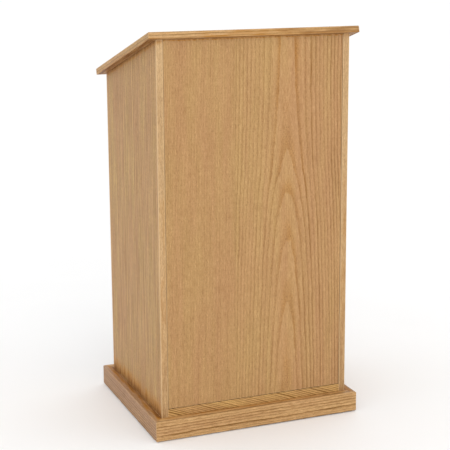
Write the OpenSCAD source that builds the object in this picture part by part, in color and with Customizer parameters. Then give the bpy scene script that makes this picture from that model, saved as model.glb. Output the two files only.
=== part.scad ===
// Floor pulpit: a veneered cabinet on a mitred plinth, open at the speaker's side, with a sloped
// reading top, one fixed and one adjustable shelf, and four levelling feet.
// Millimetres. X runs to the right as the congregation sees it, Y from the congregation towards
// the speaker, Z up. The origin is on the floor under the middle of the body.

/* [Body] */
// Width over the two side panels
body_w = 588; // [520:1:700]
// Depth over the edge strips of the side panels
body_d = 480; // [430:1:560]
// Height of the underside of the reading top, at the front face
front_h = 1145; // [1060:1:1240]
// Thickness of every veneered panel
panel_t = 19; // [18:0.5:22]
// Thickness of the solid strips on the front and rear edges of the side panels
strip_t = 6; // [3:1:8]
// How far the front panel's face lies behind the strips
panel_setback = 1; // [0:0.5:2]
// Shadow gap along the sides and the foot of the front panel
shadow_gap = 1.5; // [0.5:0.5:3]
// Height of the bottom rail that shows above the plinth
rail_show = 23; // [15:1:40]

/* [Plinth] */
// Height of the plinth mouldings
plinth_h = 59; // [50:1:80]
// Thickness of the plinth mouldings, which is how far they stand out
plinth_t = 27; // [18:1:32]
// Gap between the plinth and the floor
floor_gap = 3; // [3:0.5:8]

/* [Reading top] */
// Slope of the reading top, falling towards the speaker, in degrees
slope = 15.4; // [12:0.2:20]
// Thickness of the reading top
top_t = 19; // [18:0.5:25]
// Width of the solid edging around the reading top
edging_w = 20; // [18:1:30]
// Overhang of the reading top at each side
overhang_side = 25; // [15:1:45]
// Overhang at the front, along the slope
overhang_front = 15.5; // [10:0.5:30]
// Overhang at the speaker's side, along the slope
overhang_rear = 22.5; // [15:0.5:40]
// Length of the paper stop
stop_l = 480; // [300:1:500]
// Height of the paper stop above the reading surface
stop_h = 12; // [8:1:20]

/* [Inside] */
// Height of the top face of the fixed upper shelf
upper_shelf_z = 719; // [680:1:760]
// Height of the underside of the adjustable shelf
low_shelf_z = 400; // [370:1:430]
// Number of pin levels for the adjustable shelf, an odd number
pin_levels = 5; // [1:2:7]

/* [Feet] */
// Diameter of the foot pads
pad_d = 40; // [30:1:46]
// Diameter of the foot stems
stem_d = 10; // [8:1:10]

/* [Hidden] */
$fn = 48;

// Signs used for the two sides and the two ends
LEFT = -1;
RIGHT = 1;
FRONT = -1;
REAR = 1;

oak_veneer = [0.72, 0.55, 0.37];
oak_solid = [0.77, 0.61, 0.40];
batten_wood = [0.80, 0.70, 0.52];
zinc = [0.72, 0.73, 0.74];
nylon = [0.10, 0.10, 0.10];

half_w = body_w / 2;
half_d = body_d / 2;
inner_w = half_w - panel_t;
plinth_top = floor_gap + plinth_h;
deck_top = plinth_top + rail_show;
// The panels and rails stop a little above the plinth's lower edge
carcass_foot = floor_gap + 3;
rail_t = panel_t;
rail_back = half_d - rail_t;
front_panel_y = -half_d + panel_setback;
front_panel_back = front_panel_y + panel_t;

// The reading top, measured in its own sloped frame
// The glue line under it is a hair thick, so that the sloped faces never share material
glue_line = 0.02;
top_half_w = half_w + overhang_side;
top_y0 = -overhang_front;
top_y1 = body_d / cos(slope) + overhang_rear;

// Battens: the corner ones are square, the shelf and deck ones are deeper
batten_t = 19;
batten_h = 38;
top_cleat_h = 28;
top_cleat_w = 28;
corner_cleat_back = front_panel_back + batten_t;

rear_top_rail_h = 60;
shelf_t = panel_t;
shelf_edging_t = 8;
shelf_rear = half_d - 10;
low_shelf_front = corner_cleat_back + 4;
low_shelf_rear = half_d - 26;
// Free play at each end of the adjustable shelf
low_shelf_play = 1;

pin_d = 5;
pin_depth = 10;
pin_pitch = 32;
pin_front_y = -half_d + 90;
pin_rear_y = half_d - 70;
support_w = 10;
support_t = 1.6;
support_h = 12;
// Height of a shelf's underside above the axis of the pins that carry it
pin_drop = 5;

block_w = 60;
block_h = 40;
block_top = deck_top - panel_t;
foot_x = inner_w - block_w / 2;
foot_y = rail_back - block_w / 2;
insert_r = stem_d / 2 + 1.6;
insert_flange_r = 11;
insert_flange_t = 1.5;
insert_l = 18;
// Radial clearance of the stem in its insert
running_gap = 0.06;
pad_h = 10;
hex_af = 17;
hex_h = 6;
stem_top = block_top - 7;

dowel_d = 8;
dowel_l = 30;
dowel_in_panel = 12;
dowel_y = half_d - 11;

screw_r = 2;
screw_head_r = 4;
screw_head_h = 2.4;
screw_tip = 4;
recess_l = 4.4;
recess_w = 1;
recess_depth = 1.3;
// Clearance around a screw in its hole
screw_gap = 0.1;
// Wood left beyond the point of a screw
screw_cover = 5;
plinth_screw_z = carcass_foot + 8;

// Height of the underside of the reading top above a point at depth y
function under_z(y) = front_h - (y + half_d) * tan(slope);
function pin_z(level) = low_shelf_z - pin_drop + (level - (pin_levels - 1) / 2) * pin_pitch;
// n numbers spread evenly from a to b
function spread(a, b, n) = [for (i = [0 : n - 1]) a + (b - a) * i / (n - 1)];

// ---- Shapes that repeat ----

// A box given by its two opposite corners
module block(low, high) {
    translate(low) cube(high - low);
}

// Extrudes an outline drawn in Y and Z along X
module along_x(x0, x1) {
    translate([x0, 0, 0]) rotate([90, 0, 90]) linear_extrude(x1 - x0) children();
}

// A board with upright faces whose top is cut to the slope, drop below the reading top
module sloped_board(x0, x1, y0, y1, z0, drop = 0) {
    along_x(x0, x1)
        polygon([[y0, z0], [y1, z0], [y1, under_z(y1) - drop], [y0, under_z(y0) - drop]]);
}

// A batten of height h that lies along the underside of the reading top
module sloped_batten(x0, x1, y0, y1, h) {
    along_x(x0, x1)
        polygon([[y0, under_z(y0) - h], [y1, under_z(y1) - h], [y1, under_z(y1)], [y0, under_z(y0)]]);
}

// The sloped frame: Y down the slope, Z square to it, from the top's underside at the front face
module on_slope() {
    translate([0, -half_d, front_h + glue_line]) rotate([-slope, 0, 0]) children();
}

// A countersunk wood screw with a cross recess, its head flush at z = 0 and its point up; gap makes
// its hole instead
module screw_shape(length, gap = 0) {
    difference() {
        rotate_extrude()
            polygon([
                [0, -gap], [screw_head_r + gap, -gap], [screw_head_r + gap, 0],
                [screw_r + gap, screw_head_h], [screw_r + gap, length - screw_tip], [0, length + gap]
            ]);
        if (gap == 0)
            for (turn = [0, 90])
                rotate([0, 0, turn])
                    block([-recess_l / 2, -recess_w / 2, -1], [recess_l / 2, recess_w / 2, recess_depth]);
    }
}

// Stands an upright shape along +X, -X, +Y or -Y
module aim_x(sign) { rotate([0, sign * 90, 0]) children(); }
module aim_y(sign) { rotate([-sign * 90, 0, 0]) children(); }

// ---- Where the screws, dowels and pins are; gap is 0 for the piece and more for its hole ----

module top_screw_set(gap = 0) {
    // Square to the slope: the battens are top_cleat_h high, measured upright
    depth = top_cleat_h * cos(slope);
    length = depth + top_t - screw_cover;
    along = spread(90, body_d / cos(slope) - 60, 3);
    on_slope() {
        for (side = [LEFT, RIGHT], y = along)
            translate([side * (inner_w - top_cleat_w / 2), y, -depth]) screw_shape(length, gap);
        for (x = spread(-inner_w * 0.6, inner_w * 0.6, 3))
            translate([x, (panel_t + top_cleat_w / 2) / cos(slope), -depth]) screw_shape(length, gap);
    }
}

module cleat_screw_set(gap = 0) {
    length = batten_t + panel_t - screw_cover;
    top_length = top_cleat_w + panel_t - screw_cover;
    for (side = [LEFT, RIGHT]) {
        for (y = spread(-half_d + 130, half_d - 90, 3))
            translate([side * (inner_w - top_cleat_w), y, under_z(y) - top_cleat_h / 2])
                aim_x(side) screw_shape(top_length, gap);
        for (y = spread(-half_d + 110, half_d - 60, 3))
            translate([side * (inner_w - batten_t), y, upper_shelf_z - shelf_t - batten_h / 2])
                aim_x(side) screw_shape(length, gap);
        for (y = spread(-half_d + 140, half_d - 140, 3))
            translate([side * (inner_w - batten_t), y, block_top - batten_h / 2])
                aim_x(side) screw_shape(length, gap);
    }
}

module front_panel_screw_set(gap = 0) {
    length = batten_t + panel_t - screw_cover;
    for (side = [LEFT, RIGHT], z = spread(deck_top + 80, front_h - 160, 4))
        translate([side * (inner_w - batten_t / 2), corner_cleat_back, z])
            aim_y(FRONT) screw_shape(length, gap);
}

module deck_screw_set(gap = 0) {
    length = block_h + panel_t - screw_cover;
    offset_xy = block_w / 3;
    for (side = [LEFT, RIGHT], end = [FRONT, REAR], d = [-1, 1])
        translate([side * (foot_x + d * offset_xy), end * (foot_y - d * offset_xy), block_top - block_h])
            screw_shape(length, gap);
    cleat_length = batten_h + panel_t - screw_cover;
    for (side = [LEFT, RIGHT], y = [-60, 60])
        translate([side * (inner_w - batten_t / 2), y, block_top - batten_h])
            screw_shape(cleat_length, gap);
}

module plinth_screw_set(gap = 0) {
    side_length = panel_t + plinth_t - screw_cover;
    for (side = [LEFT, RIGHT], y = spread(-half_d * 0.6, half_d * 0.6, 3))
        translate([side * inner_w, y, plinth_screw_z]) aim_x(side) screw_shape(side_length, gap);
    for (end = [FRONT, REAR], x = spread(-inner_w * 0.6, inner_w * 0.6, 3))
        translate([x, end * rail_back, plinth_screw_z])
            aim_y(end) screw_shape(side_length, gap);
}

module stop_screw_set(gap = 0) {
    on_slope()
        for (x = spread(-stop_l * 0.4, stop_l * 0.4, 3))
            translate([x, top_y1 - edging_w / 2, 0]) screw_shape(top_t + stop_h - screw_cover, gap);
}

module dowel(gap) {
    cylinder(d = dowel_d + 2 * gap, h = dowel_l + 2 * gap);
}

module dowel_set(gap = 0) {
    low_z = carcass_foot + 22;
    high_z = deck_top - 14;
    rail_top = under_z(half_d);
    for (side = [LEFT, RIGHT]) {
        start = side * (inner_w + dowel_in_panel + gap);
        for (end = [FRONT, REAR], z = [low_z, high_z])
            translate([start, end * dowel_y, z]) aim_x(-side) dowel(gap);
        for (z = [rail_top - 18, rail_top - rear_top_rail_h + 14])
            translate([start, dowel_y, z]) aim_x(-side) dowel(gap);
    }
}

// Pin holes of one side panel, drilled from its inner face
module pin_holes(side) {
    for (y = [pin_front_y, pin_rear_y], level = [0 : pin_levels - 1])
        translate([side * inner_w, y, pin_z(level)])
            aim_x(side) translate([0, 0, -1]) cylinder(d = pin_d, h = pin_depth + 1);
}

// ---- Carcass ----

module side_panel(side) {
    color(oak_veneer)
        difference() {
            intersection() {
                sloped_board(-half_w, half_w, -half_d + strip_t, half_d - strip_t, carcass_foot);
                translate([side * (half_w - panel_t / 2) - panel_t / 2, -half_d, 0])
                    cube([panel_t, body_d, front_h]);
            }
            pin_holes(side);
            cleat_screw_set(screw_gap);
            plinth_screw_set(screw_gap);
            dowel_set(screw_gap);
        }
}

// Solid strip on the front or rear edge of a side panel
module side_strip(side, end) {
    x0 = side * (half_w - panel_t / 2) - panel_t / 2;
    y0 = end == FRONT ? -half_d : half_d - strip_t;
    color(oak_solid) sloped_board(x0, x0 + panel_t, y0, y0 + strip_t, carcass_foot);
}

module front_panel() {
    x = inner_w - shadow_gap;
    color(oak_veneer)
        difference() {
            sloped_board(-x, x, front_panel_y, front_panel_back, deck_top + shadow_gap);
            front_panel_screw_set(screw_gap);
        }
}

module bottom_rail(end) {
    y0 = end == FRONT ? -half_d : rail_back;
    color(oak_solid)
        difference() {
            block([-inner_w, y0, carcass_foot], [inner_w, y0 + rail_t, deck_top]);
            plinth_screw_set(screw_gap);
            dowel_set(screw_gap);
        }
}

module rear_top_rail() {
    color(oak_solid)
        difference() {
            sloped_board(-inner_w, inner_w, rail_back, half_d, under_z(half_d) - rear_top_rail_h);
            dowel_set(screw_gap);
        }
}

module bottom_deck() {
    color(oak_veneer)
        difference() {
            block([-inner_w, -rail_back, block_top], [inner_w, rail_back, deck_top]);
            deck_screw_set(screw_gap);
        }
}

module rail_dowels() {
    color(batten_wood) dowel_set();
}

// ---- Plinth ----

// A mitred moulding in front of y = -reach, half_run long to its inner corner, with an eased top edge
module plinth_moulding(half_run, reach) {
    ease = 2;
    intersection() {
        linear_extrude(plinth_top)
            polygon([
                [-half_run, -reach], [half_run, -reach],
                [half_run + plinth_t, -reach - plinth_t], [-half_run - plinth_t, -reach - plinth_t]
            ]);
        along_x(-half_run - plinth_t, half_run + plinth_t)
            polygon([
                [-reach, floor_gap], [-reach, plinth_top], [-reach - plinth_t + ease, plinth_top],
                [-reach - plinth_t, plinth_top - ease], [-reach - plinth_t, floor_gap]
            ]);
    }
}

module plinth_across(end) {
    color(oak_solid)
        difference() {
            rotate([0, 0, end == FRONT ? 0 : 180]) plinth_moulding(half_w, half_d);
            plinth_screw_set(screw_gap);
        }
}

module plinth_side(side) {
    color(oak_solid)
        difference() {
            rotate([0, 0, side * 90]) plinth_moulding(half_d, half_w);
            plinth_screw_set(screw_gap);
        }
}

// ---- Reading top ----

module reading_top_core() {
    color(oak_veneer)
        difference() {
            on_slope()
                block([-top_half_w + edging_w, top_y0 + edging_w, 0],
                      [top_half_w - edging_w, top_y1 - edging_w, top_t]);
            top_screw_set(screw_gap);
        }
}

// Mitred edging across the top: outer is the outside edge, inward is +1 or -1 towards the core
module edging_across(outer, inward) {
    inner = outer + inward * edging_w;
    on_slope()
        linear_extrude(top_t)
            polygon([
                [-top_half_w, outer], [top_half_w, outer],
                [top_half_w - edging_w, inner], [-top_half_w + edging_w, inner]
            ]);
}

module edging_side(side) {
    outer = side * top_half_w;
    inner = side * (top_half_w - edging_w);
    color(oak_solid)
        on_slope()
            linear_extrude(top_t)
                polygon([
                    [outer, top_y0], [outer, top_y1],
                    [inner, top_y1 - edging_w], [inner, top_y0 + edging_w]
                ]);
}

module top_edging_front() {
    color(oak_solid) edging_across(top_y0, 1);
}

module top_edging_rear() {
    color(oak_solid)
        difference() {
            edging_across(top_y1, -1);
            stop_screw_set(screw_gap);
        }
}

// Solid strip that keeps papers from sliding off, with a rounded top towards the page
module paper_stop() {
    width = edging_w - 4;
    round_r = 5;
    y0 = top_y1 - edging_w / 2 - width / 2;
    color(oak_solid)
        difference() {
            on_slope()
                along_x(-stop_l / 2, stop_l / 2) {
                    polygon([
                        [y0, top_t], [y0 + width, top_t], [y0 + width, top_t + stop_h],
                        [y0 + round_r, top_t + stop_h], [y0, top_t + stop_h - round_r]
                    ]);
                    intersection() {
                        translate([y0 + round_r, top_t + stop_h - round_r]) circle(r = round_r);
                        translate([y0, top_t]) square([round_r, stop_h]);
                    }
                }
            stop_screw_set(screw_gap);
        }
}

// ---- Battens ----

module top_cleat_front() {
    color(batten_wood)
        difference() {
            sloped_batten(-inner_w, inner_w, front_panel_back, front_panel_back + top_cleat_w,
                          top_cleat_h);
            top_screw_set(screw_gap);
        }
}

module top_cleat_side(side) {
    x0 = side * (inner_w - top_cleat_w / 2) - top_cleat_w / 2;
    color(batten_wood)
        difference() {
            sloped_batten(x0, x0 + top_cleat_w, front_panel_back + top_cleat_w, rail_back, top_cleat_h);
            top_screw_set(screw_gap);
            cleat_screw_set(screw_gap);
        }
}

module corner_cleat(side) {
    x0 = side * (inner_w - batten_t / 2) - batten_t / 2;
    color(batten_wood)
        difference() {
            sloped_board(x0, x0 + batten_t, front_panel_back, corner_cleat_back, deck_top, top_cleat_h);
            front_panel_screw_set(screw_gap);
        }
}

// A level batten on a side panel, with its top face at z1
module level_cleat(side, y0, y1, z1) {
    x0 = side * (inner_w - batten_t / 2) - batten_t / 2;
    color(batten_wood)
        difference() {
            block([x0, y0, z1 - batten_h], [x0 + batten_t, y1, z1]);
            cleat_screw_set(screw_gap);
            deck_screw_set(screw_gap);
        }
}

module deck_cleat(side) {
    reach = rail_back - block_w;
    level_cleat(side, -reach, reach, block_top);
}

module upper_shelf_cleat(side) {
    level_cleat(side, corner_cleat_back, shelf_rear - 15, upper_shelf_z - shelf_t);
}

// ---- Shelves ----

module upper_shelf() {
    notch = batten_t;
    color(oak_veneer)
        difference() {
            block([-inner_w, front_panel_back, upper_shelf_z - shelf_t],
                  [inner_w, shelf_rear - shelf_edging_t, upper_shelf_z]);
            for (side = [LEFT, RIGHT])
                translate([side * (inner_w - notch / 2) - notch / 2, front_panel_back, 0])
                    cube([notch, notch, front_h]);
        }
}

module upper_shelf_edging() {
    color(oak_solid)
        block([-inner_w, shelf_rear - shelf_edging_t, upper_shelf_z - shelf_t],
              [inner_w, shelf_rear, upper_shelf_z]);
}

module adjustable_shelf() {
    x = inner_w - low_shelf_play;
    color(oak_veneer)
        block([-x, low_shelf_front, low_shelf_z],
              [x, low_shelf_rear - shelf_edging_t, low_shelf_z + shelf_t]);
}

module adjustable_shelf_edging() {
    x = inner_w - low_shelf_play;
    color(oak_solid)
        block([-x, low_shelf_rear - shelf_edging_t, low_shelf_z],
              [x, low_shelf_rear, low_shelf_z + shelf_t]);
}

// One L-shaped support: a pin in the panel, a plate against it and a tab under the shelf
module shelf_support(side) {
    top = low_shelf_z;
    pin_at = pin_z((pin_levels - 1) / 2);
    plate_x = side * (inner_w - support_t / 2) - support_t / 2;
    tab_x = side * (inner_w - support_w / 2) - support_w / 2;
    translate([side * (inner_w - support_t), 0, pin_at])
        aim_x(side) cylinder(d = pin_d - 0.1, h = pin_depth + support_t - 0.5);
    translate([plate_x, -support_w / 2, top - support_h]) cube([support_t, support_w, support_h]);
    translate([tab_x, -support_w / 2, top - support_t]) cube([support_w, support_w, support_t]);
}

module shelf_supports() {
    color(zinc)
        for (side = [LEFT, RIGHT], y = [pin_front_y, pin_rear_y])
            translate([0, y, 0]) shelf_support(side);
}

// ---- Feet ----

module corner_block(side, end) {
    low = [side * foot_x - block_w / 2, end * foot_y - block_w / 2, block_top - block_h];
    color(batten_wood)
        difference() {
            translate(low) cube([block_w, block_w, block_h]);
            translate([side * foot_x, end * foot_y, low[2] - 1]) cylinder(r = insert_r, h = block_h + 2);
            deck_screw_set(screw_gap);
        }
}

module foot_insert() {
    bottom = block_top - block_h;
    difference() {
        union() {
            translate([0, 0, bottom]) cylinder(r = insert_r, h = insert_l);
            translate([0, 0, bottom - insert_flange_t]) cylinder(r = insert_flange_r, h = insert_flange_t);
        }
        translate([0, 0, bottom - insert_flange_t - 1])
            cylinder(r = stem_d / 2 + running_gap, h = insert_l + insert_flange_t + 2);
    }
}

module foot_inserts() {
    color(zinc)
        for (side = [LEFT, RIGHT], end = [FRONT, REAR])
            translate([side * foot_x, end * foot_y, 0]) foot_insert();
}

// Threaded stem with a spanner hexagon just above the pad
module foot_stem(side, end) {
    seat = pad_h / 2;
    color(zinc)
        translate([side * foot_x, end * foot_y, 0]) {
            translate([0, 0, seat]) cylinder(d = stem_d, h = stem_top - seat);
            translate([0, 0, pad_h]) cylinder(r = hex_af / sqrt(3), h = hex_h, $fn = 6);
        }
}

module foot_pad(side, end) {
    rim = 4;
    neck_r = hex_af / 2 + 3;
    color(nylon)
        translate([side * foot_x, end * foot_y, 0])
            difference() {
                rotate_extrude()
                    polygon([
                        [0, 0], [pad_d / 2 - 1, 0], [pad_d / 2, 1], [pad_d / 2, rim],
                        [neck_r, pad_h], [0, pad_h]
                    ]);
                translate([0, 0, pad_h / 2]) cylinder(d = stem_d, h = pad_h);
            }
}

// ---- Fasteners ----

module top_screws() { color(zinc) top_screw_set(); }
module cleat_screws() { color(zinc) cleat_screw_set(); }
module front_panel_screws() { color(zinc) front_panel_screw_set(); }
module deck_screws() { color(zinc) deck_screw_set(); }
module plinth_screws() { color(zinc) plinth_screw_set(); }
module stop_screws() { color(zinc) stop_screw_set(); }

side_panel(LEFT);  // side_panel_left
side_panel(RIGHT);  // side_panel_right
front_panel();
bottom_deck();
side_strip(LEFT, FRONT);  // front_strip_left
side_strip(RIGHT, FRONT);  // front_strip_right
side_strip(LEFT, REAR);  // rear_strip_left
side_strip(RIGHT, REAR);  // rear_strip_right
bottom_rail(FRONT);  // front_bottom_rail
bottom_rail(REAR);  // rear_bottom_rail
rear_top_rail();
plinth_across(FRONT);  // plinth_front
plinth_across(REAR);  // plinth_rear
plinth_side(LEFT);  // plinth_left
plinth_side(RIGHT);  // plinth_right
reading_top_core();
top_edging_front();
top_edging_rear();
edging_side(LEFT);  // top_edging_left
edging_side(RIGHT);  // top_edging_right
paper_stop();
top_cleat_front();
top_cleat_side(LEFT);  // top_cleat_left
top_cleat_side(RIGHT);  // top_cleat_right
corner_cleat(LEFT);  // corner_cleat_left
corner_cleat(RIGHT);  // corner_cleat_right
deck_cleat(LEFT);  // deck_cleat_left
deck_cleat(RIGHT);  // deck_cleat_right
upper_shelf_cleat(LEFT);  // upper_shelf_cleat_left
upper_shelf_cleat(RIGHT);  // upper_shelf_cleat_right
upper_shelf();
upper_shelf_edging();
adjustable_shelf();
adjustable_shelf_edging();
shelf_supports();
corner_block(LEFT, FRONT);  // corner_block_front_left
corner_block(RIGHT, FRONT);  // corner_block_front_right
corner_block(LEFT, REAR);  // corner_block_rear_left
corner_block(RIGHT, REAR);  // corner_block_rear_right
foot_inserts();
foot_stem(LEFT, FRONT);  // foot_stem_front_left
foot_stem(RIGHT, FRONT);  // foot_stem_front_right
foot_stem(LEFT, REAR);  // foot_stem_rear_left
foot_stem(RIGHT, REAR);  // foot_stem_rear_right
foot_pad(LEFT, FRONT);  // foot_pad_front_left
foot_pad(RIGHT, FRONT);  // foot_pad_front_right
foot_pad(LEFT, REAR);  // foot_pad_rear_left
foot_pad(RIGHT, REAR);  // foot_pad_rear_right
rail_dowels();
top_screws();
cleat_screws();
front_panel_screws();
deck_screws();
plinth_screws();
stop_screws();
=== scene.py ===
"""Looks of the wooden pulpit: oak figure, finish, eased edges, hardware, light and camera.

Metres, in the row frame: X to the right as the congregation sees it, Y towards the speaker, Z up.
"""
import math
from collections import namedtuple

import bpy
from mathutils import Matrix, Vector


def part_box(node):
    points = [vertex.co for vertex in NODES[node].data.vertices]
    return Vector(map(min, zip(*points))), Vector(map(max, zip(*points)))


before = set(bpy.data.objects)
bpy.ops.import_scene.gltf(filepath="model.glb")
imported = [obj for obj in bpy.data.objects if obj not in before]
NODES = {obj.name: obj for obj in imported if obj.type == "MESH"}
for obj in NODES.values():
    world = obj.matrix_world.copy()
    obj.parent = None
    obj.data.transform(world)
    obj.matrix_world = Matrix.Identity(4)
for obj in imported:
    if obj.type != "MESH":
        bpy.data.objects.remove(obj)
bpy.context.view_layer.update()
MM = 0.001

X_AXIS = Vector((1, 0, 0))
Y_AXIS = Vector((0, 1, 0))
Z_AXIS = Vector((0, 0, 1))

SIDES = (("left", -1), ("right", 1))
ENDS = (("front", -1), ("rear", 1))

# The reading top falls towards the speaker by this angle
SLOPE = math.radians(15.4)
DOWN_SLOPE = Vector((0, math.cos(SLOPE), -math.sin(SLOPE)))
OFF_SLOPE = Vector((0, math.sin(SLOPE), math.cos(SLOPE)))

# Where the grain is measured from: the side panels' outer faces and the panels' middle heights
BODY_HALF_WIDTH = 0.294
FRONT_MIDDLE = 0.615
SIDE_MIDDLE = 0.6


# ---- Colours ----

def rgb(red, green, blue):
    """A colour given as on a paint card, 0 to 255, as the linear values a shader takes."""
    def linear(value):
        value /= 255
        return value / 12.92 if value <= 0.04045 else ((value + 0.055) / 1.055) ** 2.4
    return (linear(red), linear(green), linear(blue), 1.0)


GOLD = rgb(185, 146, 93)
ROSE = rgb(183, 138, 92)
LINE = rgb(132, 91, 32)
FLAME = rgb(180, 117, 22)
PORE = rgb(104, 68, 32)
# Pale arrises: part wear, part painted highlight on the rounded corners
ARRIS_WEAR_AND_HIGHLIGHT = rgb(226, 192, 144)
# Painted shade in corners and under overhangs: brown at the meeting line, fading through honey
PAINTED_SHADE_BROWN = rgb(130, 80, 20)
PAINTED_SHADE_HONEY = rgb(176, 118, 34)
ZINC = rgb(196, 198, 200)
NYLON = rgb(30, 30, 31)
SCUFF = rgb(62, 61, 60)


# ---- Shader steps ----

class Shade:
    """One material's node tree, built a step at a time."""

    def __init__(self, name):
        self.material = bpy.data.materials.new(name)
        self.material.use_nodes = True
        self.tree = self.material.node_tree
        self.tree.nodes.clear()

    def node(self, kind, inputs=None, **settings):
        node = self.tree.nodes.new("ShaderNode" + kind)
        for key, value in settings.items():
            setattr(node, key, value)
        for key, value in (inputs or {}).items():
            self.put(node.inputs[key], value)
        return node

    def put(self, socket, value):
        if isinstance(value, bpy.types.NodeSocket):
            self.tree.links.new(value, socket)
        else:
            socket.default_value = value

    def place(self):
        return self.node("TexCoord").outputs["Object"]

    def math(self, operation, a, b=0.0, c=0.0):
        return self.node("Math", {0: a, 1: b, 2: c}, operation=operation).outputs[0]

    def add(self, a, b):
        return self.math("ADD", a, b)

    def less(self, a, b):
        return self.math("SUBTRACT", a, b)

    def times(self, a, b):
        return self.math("MULTIPLY", a, b)

    def times_plus(self, a, b, c):
        return self.math("MULTIPLY_ADD", a, b, c)

    def over(self, a, b):
        return self.math("DIVIDE", a, b)

    def vector(self, operation, a, b):
        return self.node("VectorMath", {0: a, 1: b}, operation=operation).outputs["Vector"]

    def dot(self, vector, direction):
        node = self.node("VectorMath", {0: vector, 1: tuple(direction)}, operation="DOT_PRODUCT")
        return node.outputs["Value"]

    def scale(self, colour, factor):
        node = self.node("VectorMath", {0: colour[:3], "Scale": factor}, operation="SCALE")
        return node.outputs["Vector"]

    def point(self, x, y, z):
        return self.node("CombineXYZ", {0: x, 1: y, 2: z}).outputs[0]

    def noise(self, vector, detail=2.0, roughness=0.5, scale=1.0):
        inputs = {"Vector": vector, "Scale": scale, "Detail": detail, "Roughness": roughness}
        return self.node("TexNoise", inputs).outputs["Fac"]

    def wave_of(self, value):
        """Noise along one number."""
        inputs = {"W": value, "Scale": 1.0, "Detail": 1.0}
        return self.node("TexNoise", inputs, noise_dimensions="1D").outputs["Fac"]

    def swing(self, noise, size):
        """Noise about 0.5 turned into a shift about 0."""
        return self.times(self.less(noise, 0.5), 2 * size)

    def span(self, value, low, high, to_low=0.0, to_high=1.0):
        inputs = {0: value, 1: low, 2: high, 3: to_low, 4: to_high}
        return self.node("MapRange", inputs, interpolation_type="SMOOTHSTEP").outputs[0]

    def ramp(self, factor, stops):
        """Straight steps through the given (factor, result) stops."""
        node = self.node("ValToRGB", {0: factor})
        points = node.color_ramp.elements
        for place, value in stops[1:-1]:
            points.new(place)
        for point, (place, value) in zip(points, stops):
            point.position = place
            point.color = (value, value, value, 1.0)
        return node.outputs[0]

    def along_curve(self, value, points):
        """A smooth curve of value through the given (value, result) points."""
        xs = [x for x, _ in points]
        ys = [y for _, y in points]
        low, high = min(xs), max(xs)
        bottom, top = min(ys), max(ys)
        within = self.over(self.less(value, low), high - low)
        node = self.node("FloatCurve", {"Value": within})
        curve = node.mapping.curves[0]
        for x, y in points[1:-1]:
            curve.points.new((x - low) / (high - low), (y - bottom) / (top - bottom))
        node.mapping.update()
        return self.times_plus(node.outputs[0], top - bottom, bottom)

    def mix(self, factor, a, b):
        return self.node("Mix", {0: factor, 6: a, 7: b}, data_type="RGBA").outputs[2]

    def mix_numbers(self, factor, a, b):
        return self.node("Mix", {0: factor, 2: a, 3: b}).outputs[0]

    def surface(self, colour, roughness, height, depth, **constants):
        """Ends the tree in a Principled shader, with a bump depth metres deep."""
        bump = self.node("Bump", {"Strength": 1.0, "Distance": depth, "Height": height})
        inputs = {"Base Color": colour, "Roughness": roughness, "Normal": bump.outputs[0]}
        shader = self.node("BsdfPrincipled", inputs)
        for key, value in constants.items():
            shader.inputs[key.replace("_", " ")].default_value = value
        output = self.node("OutputMaterial")
        self.tree.links.new(shader.outputs[0], output.inputs[0])
        return self.material


# ---- Oak ----

OAK = dict(
    # Where the pith lies from the origin, across the face and behind it, and how fast it recedes
    pith_across=0.10, pith_depth=0.098, taper=0.061,
    # Width of a year's growth, and how uneven the years are
    ring=8.6 * MM, unevenness=0.5,
    # How far the lines wander along the board, over a hand's breadth and over a finger's
    sway=4 * MM, warp=2.5 * MM, waver=1.2 * MM,
    # How much sharper than an arch the tips of the flames are
    point=10 * MM,
    # How strongly the growth lines, the fibres, the narrow and broad colour bands and the pores show
    lines=0.85, fibres=1.0, stripes=0.25, bands=1.0, pores=0.6,
    gold=GOLD, rose=ROSE, line=LINE, flame=FLAME,
    # How pale the arrises are, part wear and part painted highlight, and where in the noise the board is
    # cut
    wear=0.3, seed=0.0,
    # Where across the board a leaf of veneer ends and a straight-grained one begins
    joint=None,
    # Where across the board the lines grow from faint to their full strength
    quiet=None,
    # Where across the board the gold of the sapwood turns to rose
    heart=None,
    # The years on the axis of the figure at heights along the board, in place of a steady taper
    tips=None,
    # Places where painted shade darkens the board: where another piece meets it, under an overhang,
    # towards one end
    corners=(),
)

# Between two places across the board the lines grow from the share called least to all
Quiet = namedtuple("Quiet", "start end least")
# Between two places across the board the tone turns by this much each way
Heart = namedtuple("Heart", "start end turn")
# Painted shade in a corner: the way to it, how far the meeting line lies inside this piece's end,
# how far the shade reaches, how dark it is
Corner = namedtuple("Corner", "towards sunk reach strength")

# Width and length of the streaks that the grain is made of
WARP_SIZE = (50 * MM, 160 * MM)
WAVER_SIZE = (6 * MM, 50 * MM)
PATCH_SIZE = (30 * MM, 200 * MM)
FIBRE_SIZE = (3.2 * MM, 26 * MM)
HAIR_SIZE = (1.2 * MM, 11 * MM)
PORE_SIZE = (0.45 * MM, 7 * MM)
BAND_SIZE = (50 * MM, 450 * MM)
STRIPE_SIZE = (11 * MM, 220 * MM)
# Streaks that break up the painted shade
SHADE_STREAK_SIZE = (9 * MM, 70 * MM)
# Waves of sway in a metre of board
SWAYS = 2.3

# Spring wood through a year: a band of open pores starts sharply and fades into the summer wood
SPRING = [(0.0, 0.0), (0.06, 1.0), (0.22, 0.8), (0.45, 0.2), (0.8, 0.0), (1.0, 0.0)]
# How closely the flame colour keeps to the axis of the figure
FLAME_FOCUS = 9.0
# The straight-grained leaf: how much narrower its years look, how its lines wander, and its shifts
# in the noise and towards rose
LEAF_RINGS = 1.9
LEAF_WARP = 1.5
LEAF_SEED = 31.7
LEAF_ROSE = 0.25
PORE_DEPTH = 0.09 * MM


def extent(node, direction, origin):
    """Lowest and highest reach of a CAD node along a direction."""
    reach = [(vertex.co - origin).dot(direction) for vertex in NODES[node].data.vertices]
    return min(reach), max(reach)


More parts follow.
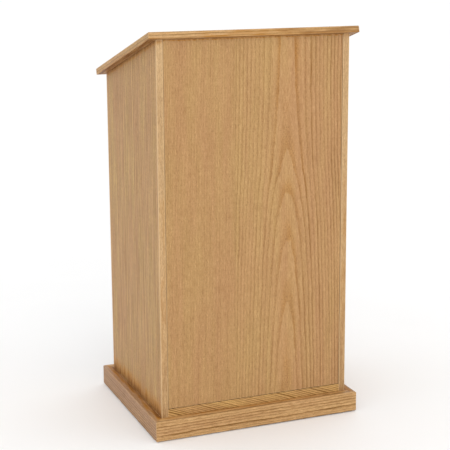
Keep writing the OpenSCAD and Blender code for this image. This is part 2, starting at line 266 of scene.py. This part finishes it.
class Oak(Shade):
    """Lacquered oak on one board: rings cut lengthwise, pores, fibres, bands, painted shade in corners,
    and pale arrises that are part wear, part painted highlight.
    """

    def __init__(self, board, along, across, origin, **changes):
        super().__init__("finish_" + board)
        self.board = board
        self.cut = {**OAK, **changes}
        self.along = Vector(along).normalized()
        self.across = Vector(across).normalized()
        self.inward = self.along.cross(self.across)
        self.origin = Vector(origin)
        self.offset = self.vector("SUBTRACT", self.place(), tuple(self.origin))
        # How far across, into and along the board a point lies
        self.wide = self.dot(self.offset, self.across)
        self.deep = self.dot(self.offset, self.inward)
        self.long = self.dot(self.offset, self.along)
        self.seed = self.cut["seed"]
        self.has_leaf = self.cut["joint"] is not None
        if self.has_leaf:
            self.leaf = self.math("LESS_THAN", self.wide, self.cut["joint"])
            self.seed = self.times_plus(self.leaf, LEAF_SEED, self.seed)

    def streaks(self, size, detail, roughness=0.5, seed=None):
        """Noise drawn out along the grain, in streaks of the given width and length."""
        width, length = size
        start = self.seed if seed is None else seed
        place = self.point(self.times_plus(self.wide, 1 / width, start),
                           self.times(self.deep, 1 / width),
                           self.times_plus(self.long, 1 / length, start))
        return self.noise(place, detail, roughness)

    def growth(self):
        """The year each point grew in, and how near it is to the axis of the figure."""
        cut = self.cut
        sways = self.noise(self.point(self.seed, 0.0, self.times(self.long, SWAYS)))
        warp = self.swing(self.streaks(WARP_SIZE, 3.0, 0.6), cut["warp"])
        waver = self.swing(self.streaks(WAVER_SIZE, 2.0), cut["waver"])
        aside = self.add(self.less(self.wide, cut["pith_across"]), self.swing(sways, cut["sway"]))
        aside = self.math("ABSOLUTE", aside)
        if cut["tips"] is None:
            height = self.times_plus(self.long, cut["taper"], cut["pith_depth"])
        else:
            height = self.times(self.along_curve(self.long, cut["tips"]), cut["ring"])
        height = self.add(height, self.deep)
        sharpened = self.times(aside, self.add(aside, 2 * cut["point"]))
        from_pith = self.math("SQRT", self.times_plus(height, height, sharpened))
        radius = self.add(from_pith, self.add(warp, waver))
        if self.has_leaf:
            straight = self.times(self.add(self.wide, self.times(warp, LEAF_WARP)), LEAF_RINGS)
            radius = self.mix_numbers(self.leaf, radius, straight)
        years = self.over(radius, cut["ring"])
        uneven = self.wave_of(self.times_plus(years, 0.33, self.seed))
        years = self.add(years, self.swing(uneven, cut["unevenness"]))
        flatness = self.math("POWER", self.over(height, from_pith), FLAME_FOCUS)
        return years, flatness

    def growth_lines(self, years, spring):
        """How strongly the spring wood shows: some years more than others, and in patches."""
        cut = self.cut
        year = self.math("FLOOR", years)
        yearly = self.span(self.wave_of(self.times_plus(year, 0.77, self.seed)), 0.3, 0.7, 0.4, 1.2)
        patchy = self.span(self.streaks(PATCH_SIZE, 3.0), 0.3, 0.7, 0.45, 1.2)
        lines = self.times(self.times(spring, yearly), self.times(patchy, cut["lines"]))
        if cut["quiet"] is not None:
            quiet = cut["quiet"]
            lines = self.times(lines, self.span(self.wide, quiet.start, quiet.end, quiet.least, 1.0))
        return lines

    def ground(self):
        """The wood's own tone in broad bands of gold and rose."""
        cut = self.cut
        half = 0.5 * cut["bands"]
        bands = self.streaks(BAND_SIZE, 3.0, 0.55, seed=cut["seed"])
        rosy = self.span(bands, 0.3, 0.7, 0.5 - half, 0.5 + half)
        if cut["heart"] is not None:
            heart = cut["heart"]
            rosy = self.add(rosy, self.span(self.wide, heart.start, heart.end, -heart.turn, heart.turn))
        if self.has_leaf:
            rosy = self.times_plus(self.leaf, LEAF_ROSE, rosy)
        return self.mix(rosy, cut["gold"], cut["rose"])

    def grained(self, colour, fibres, hairs):
        """Darker grain is browner, lighter grain paler."""
        cut = self.cut
        grain = self.add(self.swing(fibres, 0.55 * cut["fibres"]), self.swing(hairs, 0.36 * cut["fibres"]))
        stripes = self.streaks(STRIPE_SIZE, 3.0, 0.6)
        grain = self.add(grain, self.swing(stripes, cut["stripes"]))
        tint = self.point(self.times_plus(grain, 0.8, 1.0), self.add(grain, 1.0),
                          self.times_plus(grain, 1.3, 1.0))
        return self.vector("MULTIPLY", colour, tint)

    def jointed(self, colour):
        """A thin dark seam between the leaves of veneer."""
        from_joint = self.math("ABSOLUTE", self.less(self.wide, self.cut["joint"]))
        return self.mix(self.span(from_joint, 0.15 * MM, 0.5 * MM, 0.45, 0.0), colour, PORE)

    def shaded_in_corners(self, colour):
        """Painted shade where other pieces meet and under overhangs, broken into streaks: brown at the
        meeting line, honey at its fading edge.
        """
        shade_streaks = self.streaks(SHADE_STREAK_SIZE, 3.0)
        for corner in self.cut["corners"]:
            reach = corner.reach
            meeting = extent(self.board, corner.towards, self.origin)[1] - corner.sunk
            inside = self.less(meeting, self.dot(self.offset, corner.towards))
            inside = self.add(inside, self.swing(shade_streaks, 0.7 * reach))
            shade_amount = self.times(self.span(inside, 0.35 * reach, reach, 1.0, 0.0), corner.strength)
            shade_amount = self.times(shade_amount, self.span(shade_streaks, 0.35, 0.65, 1.3, 0.5))
            tone = self.mix(self.span(inside, 0.0, 0.6 * reach), PAINTED_SHADE_BROWN, PAINTED_SHADE_HONEY)
            colour = self.mix(shade_amount, colour, tone)
        return colour

    def worn_and_highlit(self, colour, hairs):
        """Paler arrises, part wear and part painted highlight, from each point's distance to the board's
        own faces.
        """
        gaps = []
        for axis, place in ((self.across, self.wide), (self.inward, self.deep), (self.along, self.long)):
            low, high = extent(self.board, axis, self.origin)
            gaps.append(self.math("MINIMUM", self.less(place, low), self.less(high, place)))
        nearest = self.math("MINIMUM", gaps[0], gaps[1])
        farther = self.math("MAXIMUM", gaps[0], gaps[1])
        second = self.math("MAXIMUM", nearest, self.math("MINIMUM", farther, gaps[2]))
        rough_edge = self.add(second, self.swing(hairs, 0.5 * MM))
        wear = self.span(rough_edge, 0.4 * MM, 1.8 * MM, 1.0, 0.0)
        return self.mix(self.times(wear, self.cut["wear"]), colour, ARRIS_WEAR_AND_HIGHLIGHT)

    def finish(self):
        cut = self.cut
        years, flatness = self.growth()
        spring = self.ramp(self.math("FRACT", years), SPRING)
        lines = self.growth_lines(years, spring)
        fibres = self.streaks(FIBRE_SIZE, 3.0, 0.65)
        hairs = self.streaks(HAIR_SIZE, 2.0, 0.6)
        slits = self.add(self.streaks(PORE_SIZE, 1.0), self.swing(fibres, 0.12))
        # Pores are closest in the spring wood
        pores = self.span(self.times_plus(spring, 0.13, slits), 0.60, 0.72)

        colour = self.mix(lines, self.ground(), self.mix(flatness, cut["line"], cut["flame"]))
        colour = self.grained(colour, fibres, hairs)
        colour = self.mix(self.times(pores, cut["pores"]), colour, PORE)
        if self.has_leaf:
            colour = self.jointed(colour)
        # Painted shade in the corners, then pale arrises that are part wear, part painted highlight
        colour = self.worn_and_highlit(self.shaded_in_corners(colour), hairs)

        roughness = self.times_plus(pores, 0.2, self.span(fibres, 0.3, 0.7, 0.46, 0.56))
        height = self.less(self.times(hairs, 0.25), self.times_plus(lines, 0.25, pores))
        return self.surface(colour, roughness, height, PORE_DEPTH, Specular_IOR_Level=0.3)


# ---- Metal and nylon ----

def metal(name, colour, roughness, brushed):
    """Plated steel: drawn or turned along one direction, with a blotchy plating."""
    shade = Shade(name)
    place = shade.place()
    scratches = shade.noise(shade.vector("MULTIPLY", place, brushed), 3.0, 0.7)
    cells = shade.noise(place, 3.0, scale=420.0)
    dull = shade.noise(place, 2.0, scale=60.0)
    tone = shade.add(shade.add(shade.swing(scratches, 0.16), 1.0), shade.swing(dull, 0.14))
    rough = shade.add(shade.span(cells, 0.3, 0.7, roughness - 0.06, roughness + 0.10),
                      shade.swing(scratches, 0.08))
    return shade.surface(shade.scale(colour, tone), rough, scratches, 0.03 * MM, Metallic=1.0)


def nylon(name):
    """Moulded black nylon with a fine spark texture and paler scuffs."""
    shade = Shade(name)
    place = shade.place()
    spark = shade.noise(place, 2.0, scale=1800.0)
    scuffs = shade.noise(place, 4.0, scale=130.0)
    colour = shade.mix(shade.span(scuffs, 0.55, 0.72), NYLON, SCUFF)
    return shade.surface(colour, shade.span(spark, 0.3, 0.7, 0.45, 0.62), spark, 0.05 * MM)


# ---- Eased edges ----

# Edges sharper than this stay crisp
CRISP_ANGLE = math.radians(30)
# Corners nearer than this are one corner, and ones nearer an edge than this are on it
SAME_CORNER = 0.01 * MM
ON_EDGE = 0.05 * MM


def crease_nodes():
    """Shades smoothly over the eased edges and keeps every sharper edge crisp."""
    tree = bpy.data.node_groups.new("creases", "GeometryNodeTree")
    tree.interface.new_socket("Geometry", in_out="INPUT", socket_type="NodeSocketGeometry")
    tree.interface.new_socket("Geometry", in_out="OUTPUT", socket_type="NodeSocketGeometry")
    start = tree.nodes.new("NodeGroupInput")
    angle = tree.nodes.new("GeometryNodeInputMeshEdgeAngle")
    sharp = tree.nodes.new("FunctionNodeCompare")
    sharp.operation = "GREATER_THAN"
    sharp.inputs[1].default_value = CRISP_ANGLE
    normal = tree.nodes.new("GeometryNodeSetMeshNormal")
    normal.mode = "SHARPNESS"
    normal.inputs["Remove Custom"].default_value = True
    end = tree.nodes.new("NodeGroupOutput")
    tree.links.new(angle.outputs["Unsigned Angle"], sharp.inputs[0])
    tree.links.new(sharp.outputs[0], normal.inputs["Edge Sharpness"])
    tree.links.new(start.outputs[0], normal.inputs["Mesh"])
    tree.links.new(normal.outputs[0], end.inputs[0])
    return tree


CREASES = crease_nodes()


def ease(node, *edges):
    """Rounds long edges of a CAD node. Each is (width, direction): the edge farthest that way."""
    piece = NODES[node]
    weld = piece.modifiers.new("weld", "WELD")
    weld.merge_threshold = SAME_CORNER
    for number, (width, direction) in enumerate(edges):
        farthest = extent(node, direction, Vector())[1]
        points = [vertex.index for vertex in piece.data.vertices
                  if farthest - vertex.co.dot(direction) < ON_EDGE]
        group = piece.vertex_groups.new(name=f"edge_{number}")
        group.add(points, 1.0, "REPLACE")
        bevel = piece.modifiers.new(f"ease_{number}", "BEVEL")
        bevel.limit_method = "VGROUP"
        bevel.vertex_group = group.name
        bevel.width = width
        bevel.segments = 3
        bevel.use_clamp_overlap = False
    creases = piece.modifiers.new("creases", "NODES")
    creases.node_group = CREASES
    normals = piece.modifiers.new("normals", "WEIGHTED_NORMAL")
    normals.keep_sharp = True


def ease_wood():
    for side, sign in SIDES:
        out = sign * X_AXIS
        for end, way in ENDS:
            ease(f"{end}_strip_{side}", (1.6 * MM, out + way * Y_AXIS), (0.5 * MM, -out + way * Y_AXIS))
    ease("front_panel", (0.4 * MM, -X_AXIS - Y_AXIS), (0.4 * MM, X_AXIS - Y_AXIS),
         (0.4 * MM, -Y_AXIS - Z_AXIS))
    for node, out in (("plinth_front", -Y_AXIS), ("plinth_rear", Y_AXIS),
                      ("plinth_left", -X_AXIS), ("plinth_right", X_AXIS)):
        # Both edges of the chamfer along the top, then the foot
        ease(node, (0.9 * MM, out + 2 * Z_AXIS), (0.9 * MM, 2 * out + Z_AXIS), (1.2 * MM, out - Z_AXIS))
    for node, out in (("top_edging_front", -DOWN_SLOPE), ("top_edging_rear", DOWN_SLOPE),
                      ("top_edging_left", -X_AXIS), ("top_edging_right", X_AXIS)):
        ease(node, (1.6 * MM, out + OFF_SLOPE), (1.2 * MM, out - OFF_SLOPE))
    for node in ("upper_shelf_edging", "adjustable_shelf_edging"):
        ease(node, (1.0 * MM, Y_AXIS + Z_AXIS), (1.0 * MM, Y_AXIS - Z_AXIS))
    ease("rear_top_rail", (1.0 * MM, Y_AXIS - Z_AXIS), (1.0 * MM, -Y_AXIS - Z_AXIS))
    ease("rear_bottom_rail", (0.5 * MM, Y_AXIS + Z_AXIS))
    ease("front_bottom_rail", (0.5 * MM, -Y_AXIS + Z_AXIS))
    ease("top_cleat_front", (1.0 * MM, Y_AXIS - OFF_SLOPE))
    for side, sign in SIDES:
        inward = -sign * X_AXIS
        ease("top_cleat_" + side, (1.0 * MM, inward - OFF_SLOPE))
        ease("corner_cleat_" + side, (1.0 * MM, inward + Y_AXIS))
        ease("upper_shelf_cleat_" + side, (1.0 * MM, inward - Z_AXIS))
        ease("deck_cleat_" + side, (1.0 * MM, inward - Z_AXIS))


# ---- Finishes ----

def dress(node, material):
    """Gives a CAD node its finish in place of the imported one."""
    for slot in NODES[node].material_slots:
        slot.material = material


def panel(node, along, across, origin, **cut):
    """Oak on one node, with the origin of its grain at a chosen point."""
    dress(node, Oak(node, along, across, origin, **cut).finish())


def board(node, along, across, **cut):
    """Oak on one node, with the origin of its grain in the middle of the piece."""
    low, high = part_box(node)
    panel(node, along, across, (low + high) / 2, **cut)


def finish_front():
    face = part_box("front_panel")[0].y
    # Heights above the middle of the panel where the tips of the flames lie, a year apart
    tips = ((-0.53, 8.9), (-0.49, 9.1), (-0.26, 10.0), (-0.06, 11.0), (0.08, 12.0), (0.195, 13.0),
            (0.53, 13.7))
    panel("front_panel", Z_AXIS, X_AXIS, (0, face, FRONT_MIDDLE), tips=tips, point=3 * MM,
          unevenness=0.12, joint=-0.0635, seed=3.0, lines=0.61, pores=0.5, bands=0.9,
          quiet=Quiet(start=0.08, end=0.16, least=0.57), heart=Heart(start=0.04, end=0.14, turn=0.27),
          # Painted shadow under the reading top's front edge
          corners=(Corner(OFF_SLOPE, sunk=0.0, reach=5 * MM, strength=0.9),))


def finish_sides():
    # Painted shade under the reading top and in the corner above the plinth; the strips are also painted
    # darker towards the floor
    under_top = Corner(OFF_SLOPE, sunk=0.0, reach=14 * MM, strength=0.7)
    above_plinth = Corner(-Z_AXIS, sunk=56 * MM, reach=52 * MM, strength=0.9)
    towards_floor = Corner(-Z_AXIS, sunk=0.0, reach=0.8, strength=0.28)
    for side, sign in SIDES:
        panel("side_panel_" + side, Z_AXIS, Y_AXIS, (sign * BODY_HALF_WIDTH, 0, SIDE_MIDDLE),
              pith_across=0.7, pith_depth=0.3, taper=0.01, ring=9 * MM, unevenness=0.9,
              lines=0.78, fibres=1.3, stripes=0.7, bands=0.9, seed=11.0 + sign,
              line=rgb(150, 98, 46), gold=rgb(184, 149, 90), rose=rgb(180, 136, 90),
              corners=(under_top, above_plinth))
        for end, _ in ENDS:
            # The strips' arrises are paler still: part wear, part painted highlight
            board(f"{end}_strip_{side}", Z_AXIS, X_AXIS, pith_across=0.5, pith_depth=0.3, taper=0.01,
                  ring=3.4 * MM, lines=0.3, seed=20.0 + sign, wear=0.8,
                  gold=rgb(206, 170, 122), rose=rgb(196, 158, 113), corners=(under_top, towards_floor))


def finish_rails():
    # The front rail's grain runs out at a slant, in degrees
    rails = (("front_bottom_rail", -22, 1.4), ("rear_bottom_rail", -3, 0.8), ("rear_top_rail", 2, 0.8))
    for number, (node, slant, lines) in enumerate(rails):
        slant = math.radians(slant)
        lean = Vector((math.cos(slant), 0, math.sin(slant)))
        rise = Vector((-math.sin(slant), 0, math.cos(slant)))
        board(node, lean, rise, pith_across=0.3, pith_depth=0.1, taper=0.02, ring=6 * MM,
              waver=0.6 * MM, warp=1.5 * MM, lines=lines, stripes=0.1, seed=30.0 + number,
              gold=rgb(207, 164, 100), rose=rgb(199, 154, 98))


def finish_plinth():
    for number, (name, outward) in enumerate((("front", -Y_AXIS), ("rear", Y_AXIS),
                                              ("left", -X_AXIS), ("right", X_AXIS))):
        # Painted shade on the plinth's top next to the body
        if name in ("front", "rear"):
            along = X_AXIS
            tones = dict(gold=rgb(199, 157, 104), rose=rgb(192, 148, 99), lines=0.9,
                         corners=(Corner(-outward, sunk=0.0, reach=12 * MM, strength=0.8),))
        else:
            along = Y_AXIS
            tones = dict(gold=rgb(176, 139, 101), rose=rgb(168, 129, 100), lines=1.2,
                         corners=(Corner(-outward, sunk=0.0, reach=24 * MM, strength=0.9),))
        board("plinth_" + name, along, Z_AXIS, pith_across=0.10, pith_depth=0.03, taper=0.015,
              ring=8.5 * MM, sway=3 * MM, warp=4 * MM, waver=2.2 * MM, fibres=1.3, stripes=0.15,
              seed=40.0 + number, **tones)


def finish_top():
    # Painted shade along the undersides of the top and its edging; the front and rear edging are also
    # painted darker towards the right end
    under_edge = Corner(-OFF_SLOPE, sunk=0.0, reach=4 * MM, strength=0.8)
    darker_end = Corner(X_AXIS, sunk=0.0, reach=0.6, strength=0.5)
    board("reading_top_core", X_AXIS, DOWN_SLOPE, pith_across=-0.05, pith_depth=0.09, taper=0.05,
          ring=8 * MM, lines=0.7, seed=50.0, corners=(under_edge,))
    edging = dict(pith_across=0.2, pith_depth=0.05, taper=0.01, ring=6.5 * MM)
    for number, (end, _) in enumerate(ENDS):
        board("top_edging_" + end, X_AXIS, OFF_SLOPE, lines=0.7, fibres=0.8, stripes=0.3,
              waver=0.8 * MM, seed=52.0 + number, gold=rgb(208, 168, 114), rose=rgb(200, 158, 108),
              corners=(under_edge, darker_end), **edging)
    for number, (side, _) in enumerate(SIDES):
        board("top_edging_" + side, DOWN_SLOPE, OFF_SLOPE, lines=0.4, fibres=1.2, stripes=0.35,
              seed=55.0 + number, corners=(under_edge,), **edging)
    # The paper stop: painted shade at its foot, and pale arrises that are part wear, part painted
    # highlight
    board("paper_stop", X_AXIS, OFF_SLOPE, pith_across=0.3, pith_depth=0.2, taper=0.01,
          ring=4 * MM, lines=0.5, seed=58.0, wear=0.6,
          corners=(Corner(-OFF_SLOPE, sunk=0.0, reach=4 * MM, strength=0.9),))


def finish_inside():
    for number, node in enumerate(("bottom_deck", "upper_shelf", "adjustable_shelf")):
        board(node, X_AXIS, Y_AXIS, pith_across=-0.07, pith_depth=0.09, taper=0.05, ring=8 * MM,
              lines=0.6, seed=60.0 + number)
    for number, node in enumerate(("upper_shelf_edging", "adjustable_shelf_edging")):
        board(node, X_AXIS, Z_AXIS, pith_across=0.2, pith_depth=0.1, taper=0.01, ring=4 * MM,
              lines=0.4, seed=64.0 + number)


def finish_battens():
    """Plain straight-grained wood behind and under everything, left thinly sealed."""
    plain = dict(pith_across=0.3, pith_depth=0.2, taper=0.02, ring=3.5 * MM, lines=0.35, pores=0.2,
                 gold=rgb(212, 180, 134), rose=rgb(204, 168, 124), line=rgb(178, 136, 86))
    lengthwise = {"top_cleat_front": X_AXIS, "top_cleat_left": DOWN_SLOPE, "top_cleat_right": DOWN_SLOPE}
    for side, _ in SIDES:
        lengthwise["corner_cleat_" + side] = Z_AXIS
        lengthwise["deck_cleat_" + side] = Y_AXIS
        lengthwise["upper_shelf_cleat_" + side] = Y_AXIS
        for end, _ in ENDS:
            lengthwise[f"corner_block_{end}_{side}"] = X_AXIS
    lengthwise["rail_dowels"] = X_AXIS
    for number, (node, along) in enumerate(lengthwise.items()):
        across = Y_AXIS if along == X_AXIS else X_AXIS
        board(node, along, across, seed=70.0 + number, **plain)


def finish_hardware():
    plated = metal("zinc_plate", ZINC, 0.34, (300.0, 300.0, 2600.0))
    black = nylon("foot_nylon")
    for node in NODES:
        if node.endswith("_screws") or node in ("foot_inserts", "shelf_supports") or "foot_stem" in node:
            dress(node, plated)
        elif node.startswith("foot_pad"):
            dress(node, black)


# ---- Stage ----

def stage():
    """A plain pale floor."""
    bpy.ops.mesh.primitive_circle_add(vertices=96, radius=40.0, fill_type="NGON")
    floor = bpy.context.object
    floor.name = "floor"
    shade = Shade("floor_paint")
    mottle = shade.noise(shade.place(), 3.0, scale=3.0)
    colour = shade.mix(mottle, (0.93, 0.93, 0.93, 1), (0.96, 0.96, 0.96, 1))
    floor.data.materials.append(shade.surface(colour, 0.9, mottle, 0.1 * MM))


def softbox(name, place, target, size, power):
    data = bpy.data.lights.new(name, "AREA")
    data.shape = "SQUARE"
    data.size = size
    data.energy = power
    lamp = bpy.data.objects.new(name, data)
    bpy.context.scene.collection.objects.link(lamp)
    lamp.location = place
    aim = Vector(target) - Vector(place)
    lamp.rotation_euler = aim.to_track_quat("-Z", "Y").to_euler()


def light():
    """White surroundings, and one soft lamp in front."""
    world = bpy.data.worlds.new("studio")
    world.use_nodes = True
    backdrop = world.node_tree.nodes["Background"]
    backdrop.inputs["Color"].default_value = (1.0, 1.0, 1.0, 1.0)
    backdrop.inputs["Strength"].default_value = 1.07
    bpy.context.scene.world = world
    softbox("key", place=(-0.5, -3.0, 2.2), target=(0, 0, 0.9), size=1.8, power=14)


def camera():
    """The photograph's viewpoint: slightly turned, a little above the top, with a long lens."""
    place = (-1.3577, -3.3860, 1.3820)
    yaw = math.radians(21.87)
    pitch = math.radians(11.49)
    roll = math.radians(-0.33)
    forward = Vector((math.sin(yaw) * math.cos(pitch), math.cos(yaw) * math.cos(pitch), -math.sin(pitch)))
    level = Vector((math.cos(yaw), -math.sin(yaw), 0))
    upright = level.cross(forward)
    right = math.cos(roll) * level + math.sin(roll) * upright
    up = math.cos(roll) * upright - math.sin(roll) * level
    data = bpy.data.cameras.new("camera")
    data.lens = 97.52
    data.sensor_width = 36.0
    data.shift_y = -0.06
    data.clip_end = 200.0
    eye = bpy.data.objects.new("camera", data)
    bpy.context.scene.collection.objects.link(eye)
    turn = Matrix((right, up, -forward)).transposed()
    eye.matrix_world = Matrix.Translation(place) @ turn.to_4x4()
    bpy.context.scene.camera = eye


# ---- Assembly ----

finish_front()
finish_sides()
finish_rails()
finish_plinth()
finish_top()
finish_inside()
finish_battens()
finish_hardware()
ease_wood()
stage()
light()
camera()
bpy.context.scene.view_settings.view_transform = "Standard"
